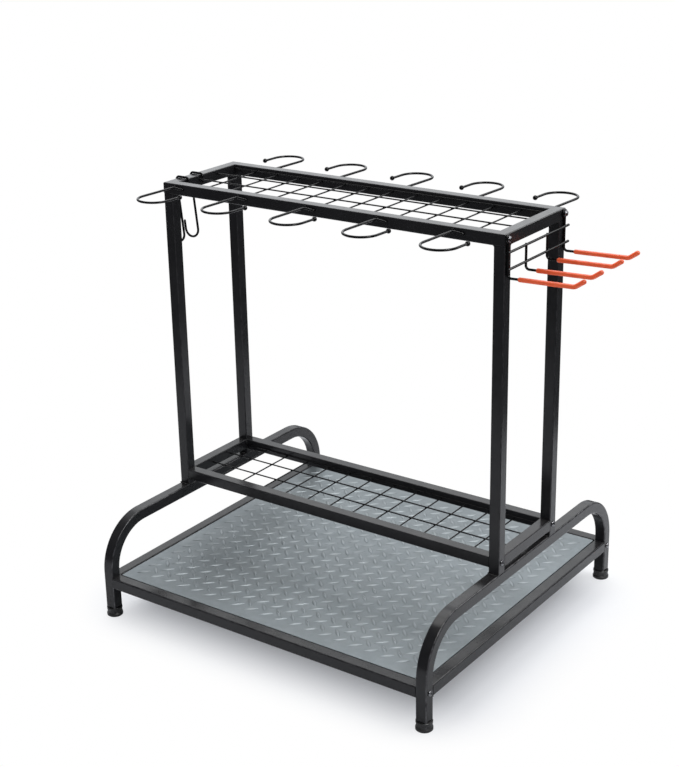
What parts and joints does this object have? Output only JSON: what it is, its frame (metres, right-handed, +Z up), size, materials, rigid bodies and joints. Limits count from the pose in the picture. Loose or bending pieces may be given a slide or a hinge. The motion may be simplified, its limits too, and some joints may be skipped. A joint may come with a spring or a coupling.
{
  "type": "garden tool rack",
  "caption": "Free-standing garden tool rack: square-tube frame on arched bases, tread-plate tray, wire grids, plug-in tool loops, sliding S-hooks and a side rack of sleeved hooks.",
  "frame": {"origin": "on the floor, at the middle of everything the rack reaches in length and depth", "axes": "+Z up, +X along the rack's length towards the side rack of sleeved hooks, -Y is the front"},
  "size_m": [0.8178, 0.6222, 0.7358],
  "materials": {
    "frame_paint": "semi-gloss black powder coat",
    "wire_paint": "gloss black coating on wire",
    "tread_plate": "blue-grey galvanised sheet with stamped tread lugs",
    "orange_vinyl": "dipped vinyl, slightly glossy",
    "foot_plastic": "moulded black plastic",
    "screw_steel": "black zinc",
    "plug_plastic": "moulded plastic, hidden in the tubes",
    "insert_steel": "zinc plated"
  },
  "bodies": {
    "rack": {"left_arch": "frame_paint", "right_arch": "frame_paint", "foot_front_left": "foot_plastic", "foot_front_right": "foot_plastic", "foot_back_left": "foot_plastic", "foot_back_right": "foot_plastic", "tray_front_rail": "frame_paint", "tray_back_rail": "frame_paint", "tray_left_rail": "frame_paint", "tray_right_rail": "frame_paint", "tray_ledges": "frame_paint", "tray_cross_bars": "frame_paint", "post_spigots": "frame_paint", "post_front_left": "frame_paint", "post_front_right": "frame_paint", "post_back_left": "frame_paint", "post_back_right": "frame_paint", "top_pegs": "frame_paint", "lower_front_rail": "frame_paint", "lower_back_rail": "frame_paint", "lower_left_rail": "frame_paint", "lower_right_rail": "frame_paint", "lower_mesh": "wire_paint", "top_front_rail": "frame_paint", "top_back_rail": "frame_paint", "top_left_rail": "frame_paint", "top_right_rail": "frame_paint", "top_mesh": "wire_paint", "side_hook_1": "wire_paint", "side_hook_2": "wire_paint", "side_hook_3": "wire_paint", "side_hook_4": "wire_paint", "hook_sleeve_1": "orange_vinyl", "hook_sleeve_2": "orange_vinyl", "hook_sleeve_3": "orange_vinyl", "hook_sleeve_4": "orange_vinyl", "side_rack_bars": "wire_paint", "rail_plugs": "plug_plastic", "leg_screws": "screw_steel", "post_screws": "screw_steel", "side_rack_inserts": "insert_steel", "side_rack_screws": "screw_steel"},
    "tray_panel": {"tray_panel": "tread_plate"},
    "loop_front_1": {"loop_front_1": "wire_paint"},
    "loop_front_2": {"loop_front_2": "wire_paint"},
    "loop_front_3": {"loop_front_3": "wire_paint"},
    "loop_front_4": {"loop_front_4": "wire_paint"},
    "loop_front_5": {"loop_front_5": "wire_paint"},
    "loop_back_1": {"loop_back_1": "wire_paint"},
    "loop_back_2": {"loop_back_2": "wire_paint"},
    "loop_back_3": {"loop_back_3": "wire_paint"},
    "loop_back_4": {"loop_back_4": "wire_paint"},
    "loop_back_5": {"loop_back_5": "wire_paint"},
    "s_hook_front": {"s_hook_front": "wire_paint"},
    "s_hook_back": {"s_hook_back": "wire_paint"}
  },
  "joints": [
    {"name": "loop_front_1_pull", "type": "slide", "parent": "rack", "child": "loop_front_1", "axis": [0, -1, 0], "range_m": [0, 0.012]},
    {"name": "loop_front_2_pull", "type": "slide", "parent": "rack", "child": "loop_front_2", "axis": [0, -1, 0], "range_m": [0, 0.012]},
    {"name": "loop_front_3_pull", "type": "slide", "parent": "rack", "child": "loop_front_3", "axis": [0, -1, 0], "range_m": [0, 0.012]},
    {"name": "loop_front_4_pull", "type": "slide", "parent": "rack", "child": "loop_front_4", "axis": [0, -1, 0], "range_m": [0, 0.012]},
    {"name": "loop_front_5_pull", "type": "slide", "parent": "rack", "child": "loop_front_5", "axis": [0, -1, 0], "range_m": [0, 0.012]},
    {"name": "loop_back_1_pull", "type": "slide", "parent": "rack", "child": "loop_back_1", "axis": [0, 1, 0], "range_m": [0, 0.012]},
    {"name": "loop_back_2_pull", "type": "slide", "parent": "rack", "child": "loop_back_2", "axis": [0, 1, 0], "range_m": [0, 0.012]},
    {"name": "loop_back_3_pull", "type": "slide", "parent": "rack", "child": "loop_back_3", "axis": [0, 1, 0], "range_m": [0, 0.012]},
    {"name": "loop_back_4_pull", "type": "slide", "parent": "rack", "child": "loop_back_4", "axis": [0, 1, 0], "range_m": [0, 0.012]},
    {"name": "loop_back_5_pull", "type": "slide", "parent": "rack", "child": "loop_back_5", "axis": [0, 1, 0], "range_m": [0, 0.012]},
    {"name": "s_hook_front_slide", "type": "slide", "parent": "rack", "child": "s_hook_front", "axis": [0, 1, 0], "range_m": [-0.0151, 0.0267]},
    {"name": "s_hook_back_slide", "type": "slide", "parent": "rack", "child": "s_hook_back", "axis": [0, 1, 0], "range_m": [-0.0031, 0.0387]},
    {"name": "tray_panel_lift", "type": "slide", "parent": "rack", "child": "tray_panel", "axis": [0, 0, 1], "range_m": [0, 0.1]}
  ]
}
